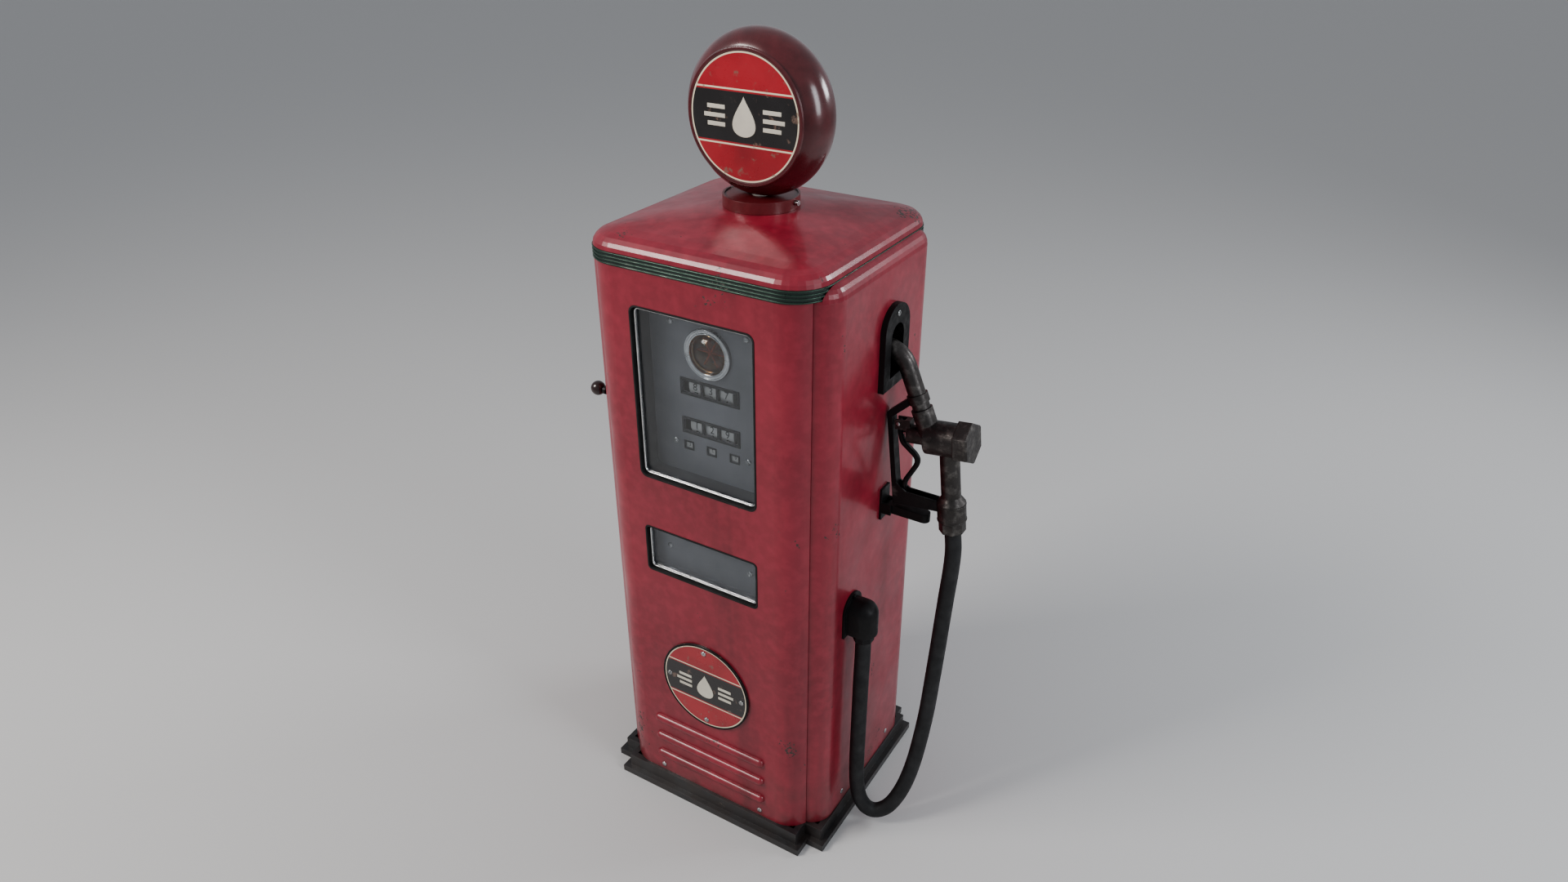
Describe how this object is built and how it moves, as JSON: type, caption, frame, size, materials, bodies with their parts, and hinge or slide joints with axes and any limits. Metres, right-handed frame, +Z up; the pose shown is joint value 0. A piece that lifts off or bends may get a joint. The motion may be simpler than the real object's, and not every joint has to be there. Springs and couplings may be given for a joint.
{
  "type": "fuel dispensing pump",
  "caption": "Tall sheet-metal fuel pump on a plinth: round lamp globe on top, computing dial behind glass, hose looping from the side to a lever nozzle in its boot.",
  "frame": {"origin": "centre of the four anchor bolts on the floor, under the middle of the cabinet", "axes": "+Z up, -Y towards the dial side, +X towards the nozzle side"},
  "size_m": [0.913, 0.618, 1.98],
  "materials": {
    "enamel_red": "gloss red enamel, weathered",
    "enamel_dark_red": "gloss dark red enamel",
    "enamel_black": "black enamel",
    "trim_green": "dark green enamel between polished ridges",
    "enamel_badge": "vitreous enamel",
    "frame_steel": "grey primer",
    "moulding_metal": "satin grey",
    "dial_grey": "satin grey",
    "iron_black": "black japanned",
    "iron_grey": "grey-green machine enamel",
    "globe_case": "gloss",
    "globe_glass": "cast milk glass, coloured",
    "ceramic_white": "glazed",
    "bulb_glass": "frosted",
    "clear_glass": "clear",
    "amber_glass": "amber, domed",
    "brass_case": "satin",
    "steel_bright": "bright",
    "pipe_steel": "dull",
    "rubber_black": "matte",
    "hose_rubber": "matte, braided under the cover",
    "belt_rubber": "matte",
    "motor_paint": "machine enamel",
    "spinner_plastic": "gloss",
    "knob_black": "gloss",
    "nozzle_metal": "dark, worn",
    "wheel_white": "printed digits"
  },
  "bodies": {
    "cabinet": {"plinth": "enamel_black", "frame_uprights": "frame_steel", "shelves": "frame_steel", "left_side_panel": "enamel_red", "right_side_panel": "enamel_red", "front_panel": "enamel_red", "rear_panel": "enamel_red", "trim_band": "trim_green", "cap": "enamel_red", "globe_collar": "enamel_dark_red", "collar_screw": "steel_bright", "globe_body": "globe_case", "front_globe_lens": "globe_glass", "rear_globe_lens": "globe_glass", "lamp_socket": "ceramic_white", "lamp_bulb": "bulb_glass", "window_gasket": "rubber_black", "glass_panes": "clear_glass", "window_frame": "moulding_metal", "dial_plate": "dial_grey", "sight_ring": "steel_bright", "sight_dome": "amber_glass", "sight_housing": "brass_case", "slot_pan": "dial_grey", "badge": "enamel_badge", "screws": "steel_bright", "nozzle_boot": "iron_black", "hook_bracket": "iron_black", "hose_outlet": "iron_black", "hose": "hose_rubber", "motor": "motor_paint", "junction_box": "frame_steel", "pump_housing": "iron_grey", "drive_belt": "belt_rubber", "air_separator": "iron_grey", "meter": "brass_case", "suction_pipe": "pipe_steel", "feed_pipe": "pipe_steel", "delivery_pipe": "pipe_steel", "register_case": "frame_steel"},
    "nozzle": {"nozzle_casting": "nozzle_metal", "nozzle_spout": "nozzle_metal", "valve_cap": "nozzle_metal", "hose_nut": "nozzle_metal", "nozzle_guard": "iron_black"},
    "trigger_lever": {"trigger": "iron_black"},
    "stem": {"valve_stem": "steel_bright"},
    "hook": {"hook_lever": "iron_black"},
    "reset": {"reset_crank": "iron_black", "reset_knob": "knob_black"},
    "pump_drive": {"pump_sheave": "pipe_steel"},
    "motor_drive": {"motor_sheave": "pipe_steel"},
    "meter_drive": {"meter_shaft": "steel_bright"},
    "spinner": {"flow_spinner": "spinner_plastic"},
    "sale_1": {"sale_wheel_1": "wheel_white"},
    "sale_2": {"sale_wheel_2": "wheel_white"},
    "sale_3": {"sale_wheel_3": "wheel_white"},
    "volume_1": {"volume_wheel_1": "wheel_white"},
    "volume_2": {"volume_wheel_2": "wheel_white"},
    "volume_3": {"volume_wheel_3": "wheel_white"}
  },
  "joints": [
    {"name": "nozzle_lift", "type": "slide", "parent": "cabinet", "child": "nozzle", "axis": [0.9848, 0, 0.1736], "range_m": [0, 0.15]},
    {"name": "trigger_pull", "type": "hinge", "parent": "nozzle", "child": "trigger_lever", "pos_m": [0.34978, 0.035, 1.14594], "axis": [0, -1, 0], "range_deg": [0, 10], "stiffness_Nm_per_rad": 0.8},
    {"name": "stem_push", "type": "slide", "parent": "nozzle", "child": "stem", "axis": [0.9932, 0, 0.1167], "range_m": [0, 0.00515]},
    {"name": "hook_rise", "type": "hinge", "parent": "cabinet", "child": "hook", "pos_m": [0.3345, 0.035, 0.913], "axis": [0, -1, 0], "range_deg": [0, 20]},
    {"name": "reset_turn", "type": "hinge", "parent": "cabinet", "child": "reset", "pos_m": [-0.3165, -0.12, 1.144], "axis": [1, 0, 0], "continuous": true},
    {"name": "pump_turn", "type": "hinge", "parent": "cabinet", "child": "pump_drive", "pos_m": [-0.11, 0.15, 0.262], "axis": [0, 1, 0], "continuous": true},
    {"name": "motor_turn", "type": "hinge", "parent": "cabinet", "child": "motor_drive", "pos_m": [0.12, 0.15, 0.25], "axis": [0, 1, 0], "continuous": true},
    {"name": "sale_3_turn", "type": "hinge", "parent": "cabinet", "child": "sale_3", "pos_m": [0.042, -0.1805, 1.24], "axis": [1, 0, 0], "continuous": true},
    {"name": "sale_2_turn", "type": "hinge", "parent": "cabinet", "child": "sale_2", "pos_m": [0, -0.1805, 1.24], "axis": [1, 0, 0], "continuous": true},
    {"name": "sale_1_turn", "type": "hinge", "parent": "cabinet", "child": "sale_1", "pos_m": [-0.042, -0.1805, 1.24], "axis": [1, 0, 0], "continuous": true},
    {"name": "volume_3_turn", "type": "hinge", "parent": "cabinet", "child": "volume_3", "pos_m": [0.042, -0.1805, 1.141], "axis": [1, 0, 0], "continuous": true},
    {"name": "volume_2_turn", "type": "hinge", "parent": "cabinet", "child": "volume_2", "pos_m": [0, -0.1805, 1.141], "axis": [1, 0, 0], "continuous": true},
    {"name": "volume_1_turn", "type": "hinge", "parent": "cabinet", "child": "volume_1", "pos_m": [-0.042, -0.1805, 1.141], "axis": [1, 0, 0], "continuous": true},
    {"name": "meter_turn", "type": "hinge", "parent": "cabinet", "child": "meter_drive", "pos_m": [0.05, 0, 0.9], "axis": [0, 0, 1], "continuous": true},
    {"name": "spinner_turn", "type": "hinge", "parent": "cabinet", "child": "spinner", "pos_m": [0, -0.21, 1.333], "axis": [0, 1, 0], "continuous": true}
  ],
  "couplings": [
    {"joint": "stem_push", "follows": "trigger_pull", "m_per_rad": 0.0295},
    {"joint": "hook_rise", "follows": "nozzle_lift", "rad_per_m": 2.327},
    {"joint": "motor_turn", "follows": "pump_turn", "ratio": 3},
    {"joint": "sale_2_turn", "follows": "sale_3_turn", "ratio": 0.1},
    {"joint": "sale_1_turn", "follows": "sale_3_turn", "ratio": 0.01},
    {"joint": "volume_3_turn", "follows": "sale_3_turn", "ratio": 0.5},
    {"joint": "volume_2_turn", "follows": "sale_3_turn", "ratio": 0.05},
    {"joint": "volume_1_turn", "follows": "sale_3_turn", "ratio": 0.005},
    {"joint": "meter_turn", "follows": "sale_3_turn", "ratio": 1},
    {"joint": "spinner_turn", "follows": "sale_3_turn", "ratio": 1}
  ]
}
